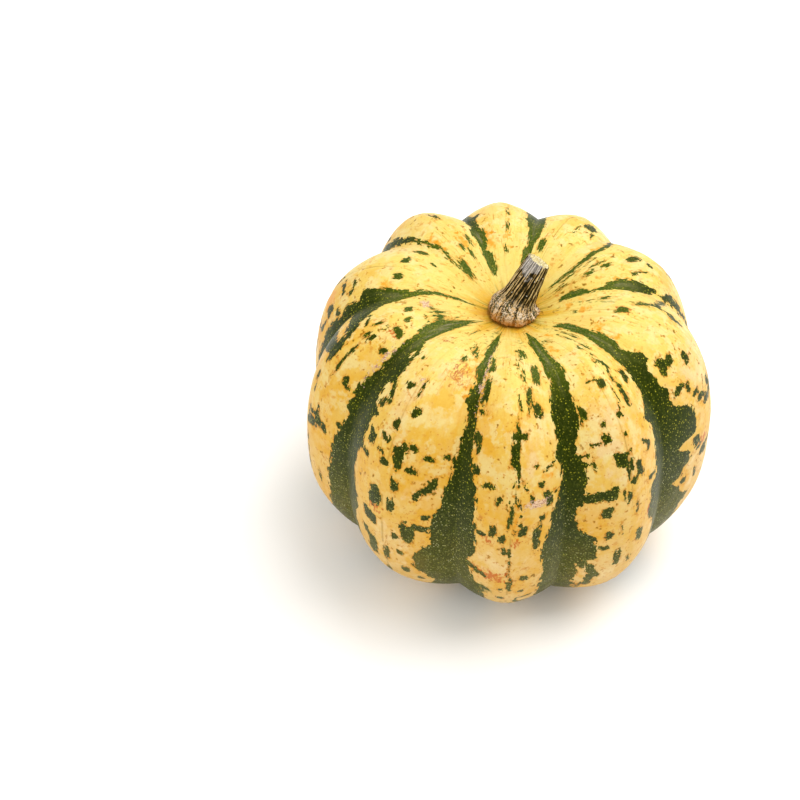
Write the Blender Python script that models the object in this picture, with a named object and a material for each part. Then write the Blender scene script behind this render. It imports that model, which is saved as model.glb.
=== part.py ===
"""A ribbed winter squash with its cut stem, standing on the flat spot at its blossom end.

Metres, +Z up. The origin is on the surface that the squash rests on, under the middle of its outline.
Bearings are in degrees round the axis, 0 towards the front (-Y) and growing towards the right (+X).
"""

import math

import bmesh
import bpy
from mathutils import Matrix, Vector

MM = 0.001

# The fruit's core, as it runs down in the valleys between the ribs
VALLEY_RADIUS = 56.5 * MM
TOP_HEIGHT = 50.0 * MM
BOTTOM_HEIGHT = 44.5 * MM
TOP_SQUARENESS = 2.5
BOTTOM_SQUARENESS = 2.95

# The hollow round the stem, and the level seat in it
HOLLOW_DEPTH = 15.0 * MM
HOLLOW_RADIUS = 27.0 * MM
SEAT_RADIUS = 7.2 * MM

# The flat spot that the fruit rests on, and the dried blossom scar in its middle
REST_RADIUS = 15.0 * MM
SCAR_RADIUS = 4.0 * MM
SCAR_RIM = 2.0 * MM
SCAR_DEPTH = 1.0 * MM

# Ten ribs: the bearing of the groove before each, and how far each stands out of the valleys
GROOVE_BEARINGS = (-13, 19, 55, 102, 141, 171, 202, 233, 273, 307)
RIB_HEIGHTS = tuple(h * MM for h in (6.4, 6.5, 5.7, 4.5, 4.8, 5.5, 7.2, 5.0, 5.9, 6.1))
RIB_ROUNDNESS = 1.4
CREST_SOFTNESS = 0.14
RIBS_RISE_FROM, RIBS_FULL_AT = 10.0, 65.0
RIBS_FALL_FROM, RIBS_GONE_AT = 95.0, 165.0

# The stem: a swollen ridged collar, a shaft that leans to the right and back, and a slanting cut
STEM_GAP = 0.3 * MM
STEM_LENGTH = 17.8 * MM
STEM_LEAN_RIGHT = 25.0
STEM_LEAN_BACK = 20.0
STEM_LEANS_BY = 0.25
STEM_CUT_SLOPE = 8.0
SHAFT_FOOT_RADIUS = 5.5 * MM
SHAFT_TOP_RADIUS = 3.4 * MM
COLLAR_SWELL = 2.1 * MM
COLLAR_MIDDLE, COLLAR_SPREAD = 0.07, 0.13
COLLAR_TUCK = 0.4 * MM
COLLAR_TUCK_SHARE = 0.05
LOBES = 5
LOBE_SHARE = 0.025
RIDGES = 10
RIDGE_SHARE = 0.055
COLLAR_RIDGE_SHARE = 0.025
RIDGED_FROM = 0.3
STEM_TWIST = 15.0

# Facets
RIB_STEPS = 10
FRUIT_RINGS = 36
POLE_CROWDING = 0.5
STEM_SIDES = 60
STEM_RINGS = 16
FOOT_CROWDING = 1.3


def smooth_step(low, high, value):
    """0 below low, 1 above high, and an even curve between."""
    share = min(max((value - low) / (high - low), 0.0), 1.0)
    return share * share * (3 - 2 * share)


def core_point(angle):
    """Radius, height and outward direction of the core at an angle in degrees down from the top."""
    sine, cosine = math.sin(math.radians(angle)), math.cos(math.radians(angle))
    half_height, power = TOP_HEIGHT, TOP_SQUARENESS
    if cosine < 0:
        half_height, power = BOTTOM_HEIGHT, BOTTOM_SQUARENESS
    across, along = abs(sine) / VALLEY_RADIUS, abs(cosine) / half_height
    reach = (across**power + along**power) ** (-1 / power)
    out_along = math.copysign(along ** (power - 1) / half_height, cosine)
    out = Vector((across ** (power - 1) / VALLEY_RADIUS, out_along)).normalized()
    return reach * sine, reach * cosine, out


def rib_rise(angle, across):
    """How much of a rib's height stands at this angle from the top, at -1 to 1 across the rib."""
    softened = (across**2 + CREST_SOFTNESS**2) / (1 + CREST_SOFTNESS**2)
    grown = smooth_step(RIBS_RISE_FROM, RIBS_FULL_AT, angle)
    faded = smooth_step(RIBS_FALL_FROM, RIBS_GONE_AT, angle)
    return (1 - softened ** (RIB_ROUNDNESS / 2)) * grown * (1 - faded)


def hollow(radius):
    """How far the top is sunk at this distance from the axis."""
    return HOLLOW_DEPTH * math.exp(-((radius / HOLLOW_RADIUS) ** 2))


def core_height(radius, half_height, power):
    """Height of the core over or under its widest ring, at this distance from the axis."""
    return half_height * (1 - (radius / VALLEY_RADIUS) ** power) ** (1 / power)


SEAT_LEVEL = core_height(SEAT_RADIUS, TOP_HEIGHT, TOP_SQUARENESS) - hollow(SEAT_RADIUS)
REST_LEVEL = -core_height(REST_RADIUS, BOTTOM_HEIGHT, BOTTOM_SQUARENESS)


def fruit_point(angle, rib, across):
    """A point of the rind, from the middle of the widest ring."""
    radius, height, out = core_point(angle)
    rise = RIB_HEIGHTS[rib] * rib_rise(angle, across)
    radius += out.x * rise
    height += out.y * rise
    if height > 0:
        height -= hollow(radius) * smooth_step(0, SEAT_LEVEL, height)
    if height > 0 and radius < SEAT_RADIUS:
        height = SEAT_LEVEL
    height = max(height, REST_LEVEL)
    if angle > RIBS_FALL_FROM:
        height += SCAR_DEPTH * (1 - smooth_step(SCAR_RADIUS, SCAR_RADIUS + SCAR_RIM, radius))
    start, end = (GROOVE_BEARINGS + (GROOVE_BEARINGS[0] + 360,))[rib : rib + 2]
    bearing = math.radians(start + (end - start) * (across + 1) / 2)
    return Vector((radius * math.sin(bearing), -radius * math.cos(bearing), height))


def crowd_to_poles(share):
    """Moves the rings of a globe closer together towards its two ends."""
    return share - POLE_CROWDING * math.sin(2 * math.pi * share) / (2 * math.pi)


def rind_mesh():
    """A globe with the same number of steps on every rib, drawn out to the rind."""
    ribs = len(GROOVE_BEARINGS)
    shape = bmesh.new()
    bmesh.ops.create_uvsphere(shape, u_segments=ribs * RIB_STEPS, v_segments=FRUIT_RINGS, radius=1.0)
    for vertex in shape.verts:
        turn = (math.atan2(vertex.co.x, -vertex.co.y) / (2 * math.pi)) % 1.0
        step = round(turn * ribs * RIB_STEPS) % (ribs * RIB_STEPS)
        rib, step = divmod(step, RIB_STEPS)
        share = math.acos(max(-1.0, min(1.0, vertex.co.z))) / math.pi
        vertex.co = fruit_point(180 * crowd_to_poles(share), rib, 2 * step / RIB_STEPS - 1)
    mesh = bpy.data.meshes.new("fruit")
    shape.to_mesh(mesh)
    shape.free()
    return mesh


def stem_radius(share):
    """Mean radius at this share of the length: a tapering shaft on a collar that tucks in underneath."""
    shaft = SHAFT_FOOT_RADIUS + (SHAFT_TOP_RADIUS - SHAFT_FOOT_RADIUS) * share
    collar = COLLAR_SWELL * math.exp(-(((share - COLLAR_MIDDLE) / COLLAR_SPREAD) ** 2))
    tuck = COLLAR_TUCK * max(0.0, 1 - share / COLLAR_TUCK_SHARE) ** 2
    return shaft + collar - tuck


def stem_turn(share):
    """How the stem's section is tilted at this share of its length."""
    lean = smooth_step(0.0, STEM_LEANS_BY, share)
    right = Matrix.Rotation(math.radians(STEM_LEAN_RIGHT * lean), 3, "Y")
    back = Matrix.Rotation(-math.radians(STEM_LEAN_BACK * lean), 3, "X")
    return back @ right


def stem_section(share):
    """One ring of points round the stem, ridged all round, and slanting near the cut."""
    risen = smooth_step(0, RIDGED_FROM, share)
    ridge_share = COLLAR_RIDGE_SHARE + (RIDGE_SHARE - COLLAR_RIDGE_SHARE) * risen
    slope = math.tan(math.radians(STEM_CUT_SLOPE)) * smooth_step(RIDGED_FROM, 1.0, share)
    section = []
    for side in range(STEM_SIDES):
        bearing = 2 * math.pi * side / STEM_SIDES
        relief = LOBE_SHARE * math.cos(LOBES * bearing) + ridge_share * math.cos(RIDGES * bearing)
        radius = stem_radius(share) * (1 + relief)
        twisted = bearing + math.radians(STEM_TWIST) * share
        x, y = radius * math.cos(twisted), radius * math.sin(twisted)
        section.append(stem_turn(share) @ Vector((x, y, -slope * x)))
    return section


def stem_sections():
    """Rings of points up the bending stem, closer together at the collar."""
    centre = Vector((0, 0, SEAT_LEVEL + STEM_GAP))
    shares = [(ring / STEM_RINGS) ** FOOT_CROWDING for ring in range(STEM_RINGS + 1)]
    sections = []
    for before, share in zip([0.0] + shares, shares):
        step = Vector((0, 0, STEM_LENGTH * (share - before)))
        centre = centre + stem_turn((before + share) / 2) @ step
        sections.append([centre + point for point in stem_section(share)])
    return sections


def stem_mesh():
    """A loft through the stem's unlike sections, closed at the foot and at the cut."""
    shape = bmesh.new()
    rings = [[shape.verts.new(point) for point in section] for section in stem_sections()]
    for lower, upper in zip(rings, rings[1:]):
        for side in range(STEM_SIDES):
            after = (side + 1) % STEM_SIDES
            shape.faces.new((lower[side], lower[after], upper[after], upper[side]))
    shape.faces.new(reversed(rings[0]))
    shape.faces.new(rings[-1])
    mesh = bpy.data.meshes.new("stem")
    shape.to_mesh(mesh)
    shape.free()
    return mesh


def finish(name, colour, roughness):
    """A plain material with this colour."""
    material = bpy.data.materials.new(name)
    material.use_nodes = True
    shader = material.node_tree.nodes["Principled BSDF"]
    shader.inputs["Base Color"].default_value = (*colour, 1)
    shader.inputs["Roughness"].default_value = roughness
    shader.inputs["Metallic"].default_value = 0.0
    return material


def add_part(name, mesh, material, place, collection):
    """Puts one sub-part in the scene, shaded round."""
    mesh.materials.append(material)
    mesh.shade_smooth()
    mesh.set_sharp_from_angle(angle=math.radians(50))
    part = bpy.data.objects.new(name, mesh)
    part.location = place
    collection.objects.link(part)
    return part


def middle_of(mesh):
    """The middle of a mesh's outline, seen from above."""
    xs = [vertex.co.x for vertex in mesh.vertices]
    ys = [vertex.co.y for vertex in mesh.vertices]
    return Vector(((min(xs) + max(xs)) / 2, (min(ys) + max(ys)) / 2, 0))


def main():
    """Builds the squash in a scene cleared of its objects."""
    for old in list(bpy.data.objects):
        bpy.data.objects.remove(old)
    squash = bpy.data.collections.new("squash")
    bpy.context.scene.collection.children.link(squash)
    rind = rind_mesh()
    place = Vector((0, 0, -REST_LEVEL)) - middle_of(rind)
    add_part("fruit", rind, finish("rind", (0.87, 0.66, 0.24), 0.42), place, squash)
    add_part("stem", stem_mesh(), finish("stem", (0.30, 0.24, 0.13), 0.8), place, squash)


main()
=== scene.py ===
"""The looks of a striped winter squash: its ribbed rind with every marking, its stem, and a pale studio.

Metres, +Z up. Bearings are in degrees round the fruit's axis, 0 towards the front (-Y) and growing
towards the right (+X). Angles are in degrees down from the stem, 90 at the widest ring.
"""

import math

import bmesh
import bpy
import numpy as np
from bpy.props import FloatProperty, FloatVectorProperty, PointerProperty
from mathutils import Matrix, Vector


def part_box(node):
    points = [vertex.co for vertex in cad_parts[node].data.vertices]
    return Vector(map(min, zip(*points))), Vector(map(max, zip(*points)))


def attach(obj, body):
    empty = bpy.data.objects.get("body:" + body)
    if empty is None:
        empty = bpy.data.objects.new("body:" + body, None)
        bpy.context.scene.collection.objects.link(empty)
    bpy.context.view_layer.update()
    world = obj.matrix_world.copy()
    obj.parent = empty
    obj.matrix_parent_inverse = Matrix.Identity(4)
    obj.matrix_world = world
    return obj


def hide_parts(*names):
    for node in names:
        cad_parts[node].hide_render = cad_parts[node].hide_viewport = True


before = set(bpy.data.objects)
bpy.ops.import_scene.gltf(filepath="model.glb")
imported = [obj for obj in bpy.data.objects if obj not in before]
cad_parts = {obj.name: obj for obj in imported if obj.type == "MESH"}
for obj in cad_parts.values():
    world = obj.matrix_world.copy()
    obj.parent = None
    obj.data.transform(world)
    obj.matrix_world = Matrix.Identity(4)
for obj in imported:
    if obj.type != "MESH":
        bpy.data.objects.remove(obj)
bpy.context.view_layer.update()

bl_info = {
    "name": "Striped winter squash",
    "version": (1, 0, 0),
    "blender": (4, 5, 0),
    "location": "3D View > Sidebar > Squash",
    "description": "Grows a ribbed squash with its markings and stem, and sets a pale studio round it",
    "category": "Add Mesh",
}

MM = 0.001
TURN = 360.0

# The studio in metres: half the floor's width, the world's tint, each lamp's place and width, and how
# close to the camera things still show
FLOOR_REACH = 4.0
WORLD_TINT = (1.0, 0.982, 0.945)
KEY_PLACE, KEY_WIDTH = (0.5, 0.25, 1.05), 1.1
FILL_PLACE, FILL_WIDTH = (-0.8, -0.5, 0.6), 0.8
NEAREST_SEEN = 0.01

# How far the picture is opened up, in stops, so that the floor shows white and the fruit as it is
EXPOSURE = 0.55

# Where the fruit's axis stands in the part's frame, and the grooves and ribs round it
AXIS = Vector((-0.858 * MM, 0.577 * MM, 0.0))
GROOVE_BEARINGS = np.array((-13, 19, 55, 102, 141, 171, 202, 233, 273, 307, 347), dtype=float)
RIB_HEIGHTS = np.array((6.4, 6.5, 5.7, 4.5, 4.8, 5.5, 7.2, 5.0, 5.9, 6.1)) * MM

# The ribs that the picture hides, which seeded marks cover
HIDDEN_RIBS = (3, 4, 5, 6, 7, 8)

# How far the fine line on each rib leaves its crest, as a share of the first rib's, and that by angle
CREST_WANDER = ((20, 45, 56, 68, 84), (0.19, 0.17, 0.09, 0.06, 0.0))
CREST_WANDERS = np.array((1.0, -0.4, 0.5, -0.7, 0.3, 0.6, -0.3, 0.5, -0.6, 0.1))

# Where the ribs rise out of the hollow and sink again, where the rind swells and dips freely, the angles
# that tell the marks round the stem from those underneath, and the width of the blossom scar's rim
RIBS_RISE, RIBS_SINK = (10.0, 65.0), (95.0, 165.0)
FREE_FROM, FREE_TO = (14.0, 40.0), (150.0, 160.0)
TOP_ENDS, UNDERSIDE = 60.0, 95.0
SCAR_RIM = 2.0 * MM

# The stem's rule: the collar's middle, spread and tuck, how far up it has leant, is ridged in full and is
# cut, as shares of its length, the ridges' depth on the collar, as a share of its radius, and how many
# lobes, ridges and fibres go round it
COLLAR_MIDDLE, COLLAR_SPREAD, COLLAR_TUCKS_TO = 0.07, 0.13, 0.05
LEANS_BY, RIDGED_FROM, CUT_AT = 0.25, 0.3, 0.999
COLLAR_RIDGES = 0.025
LOBES, RIDGES, FIBRES = 5.0, 10.0, 31.0

# The sizes that the rind's tree and the stem's take, and their seeds
RIND_SIZES = (
    "valley_radius", "top_height", "bottom_height", "top_squareness", "bottom_squareness", "hollow_depth",
    "hollow_radius", "seat_radius", "rest_radius", "scar_radius", "scar_depth", "rib_roundness",
    "crest_softness", "unevenness", "pucker", "crest_line",
)
STEM_SIZES = (
    "foot_radius", "top_radius", "collar_swell", "collar_tuck", "lobe_share", "ridge_share", "fibre", "twist",
    "cut_slope", "lean_right", "lean_back",
)
RIND_SEED, STEM_SEED = 3.0, 8.0

# How finely the rind and the stem are divided
COLUMN_DEGREES = 0.8
RIND_RINGS = 218
POLE_CROWDING = 0.2
STEM_SIDES = 264
FOOT_ROWS, SHAFT_ROWS, CUT_ROWS = 3, 130, 16
SHAFT_CROWDING = 1.15

# Edges of the stem sharper than this many degrees are shaded sharp
SHARP_FROM = 62

# Where the patterns on the rind are unrolled: on a drum of this radius, in millimetres
DRUM = 60.0

# The green bands, as the angle and the bearings of their left and right edges, from the stem down
BANDS = {
    -13: (
        (11, -20, -10.5), (16, -17.5, -10.2), (20, -16.8, -9.7), (25, -15.8, -9.9), (30, -15, -10),
        (35, -16.5, -10.9), (40, -13.8, -10.9), (47, -15.8, -9.7), (50, -13.2, -10.3), (55, -13.8, -9.8),
        (60, -14, -9.5), (65, -14.7, -9.2), (70, -15.6, -7), (75, -16.2, -7), (80, -17.4, -7.4),
        (84, -19, -6.2), (90, -19.7, -6.5), (95, -19.4, -6.8), (98, -22.6, -9.1), (102, -24.4, -8),
        (106, -24.7, -6.8), (110, -22, -4), (115, -19, -5),
    ),
    19: (
        (12, 19, 29), (18, 19.5, 28), (20, 18, 27), (25, 18.3, 26), (30, 19, 25.7), (35, 18.5, 27),
        (40, 19.8, 26), (45, 17, 25.5), (48, 16.3, 25.7), (55, 16.8, 25), (58, 16.8, 22.5),
        (62, 15.5, 22.5), (64, 18, 24), (70, 17.3, 25), (72, 16, 24), (75, 16.5, 24), (78, 14.5, 23.5),
        (80, 14.3, 21.3), (84, 13.5, 21.8), (88, 12.7, 23), (90, 12, 26.5), (93, 11.5, 27.5),
        (97, 12.3, 28), (100, 12.7, 27.8), (101, 12.7, 22), (104, 12.5, 23.5), (112, 12, 23.3),
        (118, 12, 24.5),
    ),
    55: (
        (16, 57.6, 62.3), (20, 57, 65), (25, 56, 62), (28, 55.5, 61), (33, 53.5, 61.5), (37, 52.8, 61),
        (40, 52.7, 58.8), (43, 53, 60), (46, 53.3, 63.5), (48, 53.3, 63.5), (50, 52.7, 60), (55, 52, 61),
        (57, 50, 61.5), (60, 46.5, 62.5), (62, 49, 61), (64, 50, 61.5), (66, 49.8, 65), (68, 49.5, 68),
        (72, 49, 69), (77, 48, 69), (78.5, 48, 61), (80, 44.5, 61), (82, 44.3, 65), (86, 45, 66.5),
        (88, 44, 64), (91, 44, 63), (92, 44.5, 59.5), (95, 47, 62), (99, 48, 64), (102, 48, 69),
        (105, 48, 65),
    ),
    102: (
        (16, 103, 106), (18, 103, 110), (20, 103, 110.5), (24, 102.5, 109), (26, 102.5, 104.5),
        (30, 102.5, 104.5), (32, 102.5, 107), (35, 101.5, 108), (40, 100.7, 108), (43, 101.5, 107),
        (46, 102, 105.5), (49, 103.5, 105), (50.5, 104.3, 103.7), (52, 103, 104.5), (55, 103, 107.5),
        (60, 103.5, 107.5), (63, 104, 106), (67, 106, 107),
    ),
    141: (
        (14, 128, 131), (20, 128.3, 131.5), (25, 128, 131), (30, 129, 132), (34, 130, 133.5),
        (38, 130.5, 133), (42, 132, 134.5), (47, 136, 138),
    ),
    171: (
        (20, 169, 173), (25, 166.5, 174), (28, 167, 171), (32, 165.5, 172), (36, 165, 173),
        (40, 165.5, 175), (45, 167, 175.5),
    ),
    202: (
        (16, 199, 204), (18, 197, 205), (24, 197, 205), (26, 201, 204.5), (30, 198, 205), (33, 197.5, 206),
        (36, 199, 205), (38, 199.5, 203), (40, 199, 203),
    ),
    233: (
        (33, 228, 230), (40, 229, 231), (50, 229, 232), (60, 229, 233),
    ),
    273: (
        (12, 261, 266), (17, 261.5, 266), (20, 264.5, 267.5), (25, 266, 269), (30, 268, 272),
        (33, 269, 273.5), (36, 268.7, 277.5), (40, 267.5, 279), (45, 266, 284), (48, 265, 286.5),
        (50, 269, 289), (55, 268, 291), (58, 270, 292),
    ),
    307: (
        (11, 300, 306), (15, 297, 307.5), (20, 299.5, 309), (25, 298, 311.2), (28, 300, 311.7),
        (32, 301.5, 312), (35, 304, 312), (40, 305.2, 317.5), (43, 305.2, 317), (46, 305.7, 318),
        (50, 306, 318), (52, 305.5, 314.5), (55, 304, 314.7), (58, 304, 315), (60, 304, 318.5),
        (62, 304, 316.5), (65, 303, 316), (68, 305, 316),
    ),
}

# Green spots, as bearing, angle, width and length in degrees
SPOTS = (
    # on the rib left of the front one
    (-39.5, 40.2, 1.5, 1), (-36, 48.8, 3, 2), (-30.8, 48.5, 1, 5), (-29.3, 54.5, 2.6, 2.4),
    (-29.9, 66.4, 3.2, 2.6), (-33.7, 58.8, 2.2, 2.4), (-35.3, 63.6, 3, 1.8), (-35.7, 67.3, 2, 1.2),
    (-33.9, 69.6, 2.6, 2), (-26, 69.3, 3, 2), (-21.6, 65.1, 3, 1.6), (-16.7, 63.6, 2.6, 1.5),
    (-29.7, 75.4, 2, 3.6), (-30.5, 83, 2, 5.5), (-35.5, 81.5, 4, 7), (-37.5, 91.8, 5, 4.6),
    (-21, 84.6, 2.4, 2), (-25.5, 92.5, 3.5, 8), (-22, 89, 4, 2.5), (-29.3, 94.5, 2, 2.4), (-28, 101, 2, 2),
    (-37, 103.5, 3.5, 8), (-39.8, 99.5, 2.5, 3), (-32, 103, 1.8, 6.5), (-27.3, 110, 2, 3.5),
    (-23.6, 34, 2.2, 2.2),
    # on the front rib
    (-8.4, 31.5, 1.6, 3), (-8, 34.5, 3, 3), (-8.2, 42.5, 2.8, 7.5), (-8.3, 49.3, 2.5, 1.4),
    (-8.6, 56, 2.8, 2.6), (-8, 59.4, 1.4, 3), (-7.5, 64.8, 2.4, 2.5), (-3.5, 68.2, 3.2, 1.8),
    (-0.5, 71.7, 1.8, 2.8), (-1.7, 82, 2, 3.5), (0.5, 84.7, 1.8, 2.6), (-5, 84.5, 3, 2),
    (1.4, 88.8, 1.6, 3), (5, 33.5, 0.8, 3), (6.8, 37.5, 1, 4), (4.3, 51.5, 1, 2.5), (3.3, 59.5, 2.4, 6.5),
    (3, 67, 0.8, 1.5), (4.4, 71.5, 1.2, 2.5), (2.8, 76, 1.2, 8), (6, 81.7, 2.2, 3), (3.3, 104.5, 1.6, 5),
    (8.5, 27, 3.6, 4), (5.5, 25.2, 3.6, 1.1), (13, 37.3, 3.6, 6.5), (8.9, 44.8, 1.9, 6),
    (11.3, 48.3, 3, 3.6), (9.2, 62.8, 2, 1), (11.2, 68, 1.6, 1.6), (6.7, 67.7, 1, 1.6), (8.4, 71.7, 1, 2),
    (13.5, 73.5, 2, 3), (11.3, 78.3, 2, 2), (9.8, 86, 2.2, 8.5), (6.8, 101.3, 2.4, 2), (6.5, 108, 1.6, 1.2),
    (1, 106.5, 1.4, 1), (-4.5, 108, 4.6, 2), (1.2, 112, 2, 1.6), (4.9, 73.8, 0.9, 1.3), (5.4, 76.3, 1, 1.8),
    (4.9, 78.8, 0.9, 1.2), (4, 81.5, 0.9, 2),
    # on the rib right of the front one
    (42, 32, 1.8, 2), (43.5, 36.5, 1.2, 1.5), (41, 39, 1.2, 1.5), (44.3, 41, 1.5, 3),
    (37.3, 45.3, 2.8, 2.6), (43.5, 48.5, 2.2, 2), (43.3, 52, 2, 4), (39.2, 52, 1, 4.5),
    (37.8, 54.5, 2.2, 1.5), (49.5, 46.5, 3, 4), (31.5, 55.5, 1.2, 1.6), (31.2, 59.2, 2.6, 2.6),
    (37.3, 59.7, 1.2, 1.2), (34.3, 66, 3.6, 3.6), (37.2, 67.5, 1.4, 3), (36, 70, 1, 4), (39.8, 70, 2, 4.5),
    (41, 72.3, 1, 1.6), (37.3, 73, 1.6, 2), (34.2, 76, 1, 3.6), (35.9, 77, 1.4, 4), (45, 76.3, 4, 1.6),
    (29.6, 81.6, 2.8, 3.6), (38.5, 81.5, 0.8, 4), (34, 89, 0.8, 3), (30.8, 90.2, 2.4, 3),
    (29.5, 95.5, 2.6, 1.6), (40.3, 94.5, 2.6, 4.6), (33.5, 101, 1.8, 6.5), (37.3, 103, 1.4, 2.4),
    (25.5, 75.8, 8, 3.2), (30.4, 75.4, 4, 4), (27, 52, 2.4, 3), (50.3, 26, 2, 1.2),
    # on the third rib
    (65.4, 52.4, 3.8, 4.6), (68.6, 53.4, 3.8, 2.8), (75, 56.5, 3, 3), (66, 61, 4.4, 2.2), (69.3, 63, 2, 3),
    (71.5, 66, 2.4, 1.5), (73.3, 68.7, 4, 2), (76, 71.5, 3.5, 2.6), (80, 68.5, 3, 2.4), (81, 35, 4.6, 3.4),
    (69, 81.5, 3, 4), (70, 84.8, 3, 1.2), (73.4, 88.4, 3.8, 3.8), (76.6, 87, 3.4, 2.2),
    (64.5, 94.3, 2.4, 2.4), (70, 95.5, 1.6, 3.5), (93.5, 29.5, 3, 2.6), (89.7, 48, 1.4, 6),
    (88, 52, 2.4, 4.5), (81, 20.8, 3, 1), (86.5, 14.8, 3.4, 0.9), (92.5, 15.6, 3.4, 0.9),
    # on the ribs at the back, from the right round to the left
    (111, 41.7, 2, 2.2), (112.5, 44.5, 1, 3), (118.5, 28, 2.4, 3), (118.7, 34, 2, 2.6), (120, 17.5, 3, 4),
    (120, 44, 3, 5), (117.5, 49, 2, 2), (125.5, 22.5, 1.5, 4), (122, 31.5, 1.5, 4), (162, 28.5, 4.5, 4),
    (147.5, 47, 4, 5), (144, 43.5, 1.5, 2), (150, 41, 1, 4), (186, 24.5, 3, 2), (184.5, 33, 1.6, 3.5),
    (184, 41.5, 1.2, 4), (199, 44, 5, 2), (213.5, 25.5, 2.4, 3), (217.5, 28, 3, 2), (209.5, 31, 2.2, 4),
    (216, 44, 2, 4), (237, 36, 3.5, 4), (242, 29.5, 2, 2), (247.5, 37, 5, 2), (260.5, 37.3, 3.5, 2.6),
    (260.5, 51.5, 4, 1.4), (264, 53, 1.6, 1.4), (260, 56.2, 4.5, 1.6), (267, 59.5, 2.5, 2),
    (263, 63, 3.5, 3.5), (269, 67.3, 1.4, 1.4), (264.5, 69, 1.6, 4), (225.5, 22.5, 5.5, 5),
    # on the rib at the left
    (287.5, 33.7, 4.5, 2.4), (286, 26, 2.5, 1.5), (295.3, 35, 2.5, 2), (299.5, 39.4, 5, 2.5),
    (295.4, 41.5, 1.2, 2), (292, 43, 1.4, 3), (293.7, 47.5, 1.4, 3), (296, 47, 2, 3), (302.7, 46.8, 2.4, 2),
    (294.8, 53.5, 1.2, 4), (299.5, 59.8, 2, 1.6), (319.5, 66, 3, 4),
)

# Green strokes, as bearing and angle of both ends, and the width in degrees of bearing
STROKES = (
    (-31, 65, -26, 63, 1.6), (-31, 65, -29.7, 69, 1.8), (-19.5, 72, -23.5, 77, 1.9),
    (-24, 26.5, -18.5, 30, 1.4), (4.6, 53, 4.6, 67, 0.9), (7, 35, 7.6, 40, 1), (4.6, 44, 5.2, 48, 0.8),
    (2.6, 55.2, 6, 55.2, 1.7), (2.8, 88, 2.8, 104, 0.6), (-9.5, 99, -3.5, 101.6, 1.5),
    (6, 112.6, 10, 112.6, 1), (17, 62, 12.2, 64.5, 1), (12, 71, 16, 71, 1), (30, 21, 35, 24, 1.2),
    (45.8, 21, 45.8, 34, 1.2), (44, 42, 42, 46.5, 1.2), (32.5, 43.8, 36, 43.8, 1),
    (26.5, 60.2, 30, 60.2, 1.2), (34.3, 66, 37.5, 64, 1.2), (43, 64, 46, 66, 1.2), (46, 66, 44, 68, 1.2),
    (22.5, 62.7, 25.5, 62.7, 1.2), (22.5, 65.5, 26.8, 65.5, 1.4), (23, 101, 27, 104, 2.5),
    (27, 104, 28.5, 108, 2.5), (28.5, 108, 27.5, 113, 2.5), (92.5, 60, 88, 66.5, 1.6),
    (88, 66.5, 84, 70.5, 1.6), (84, 70.5, 79, 72, 1.4), (87, 38.5, 90.5, 43.5, 1.6),
    (91, 45, 101.5, 52, 1.3), (223.5, 12, 225, 20, 1.6), (228.5, 13, 228, 20, 1.4),
    (229.5, 25, 228, 33, 1.3), (-75, 44.5, -70, 46.5, 1.2), (-70, 24.5, -60, 26, 2),
    (-67, 29.5, -60, 29.5, 1.2), (-42, 51, -40, 55, 1.3), (-40, 55, -43, 57, 1.3), (-45, 71, -41, 71, 1.3),
    # thin lines along the grooves round the stem
    (52.6, 18, 52.8, 27, 0.6), (52, 28, 45.5, 34, 0.5), (44.5, 37.5, 42.2, 40, 0.6),
    (50.5, 21, 50, 28, 0.5), (231, 29, 229.5, 21, 0.6), (229, 20, 225, 12, 0.6), (226, 24, 223, 14, 0.5),
    (122.5, 11, 122.6, 20, 0.6), (124.5, 24, 127.5, 33, 0.6), (126, 12, 126.5, 20, 0.5),
    (119, 12, 119, 20, 0.5), (17.5, 11, 12, 19.5, 0.6), (8, 27, 6.6, 31.5, 0.6), (95, 18, 92, 30, 0.5),
    (-70, 14, -62, 21, 0.5), (-40, 13, -36, 22, 0.5),
)

# Light holes in the bands, as bearing, angle, width and length in degrees
HOLES = ((-45.8, 41, 2, 2.5), (-79, 54.5, 13, 4.5), (-55.3, 49, 1.2, 9))

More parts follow.
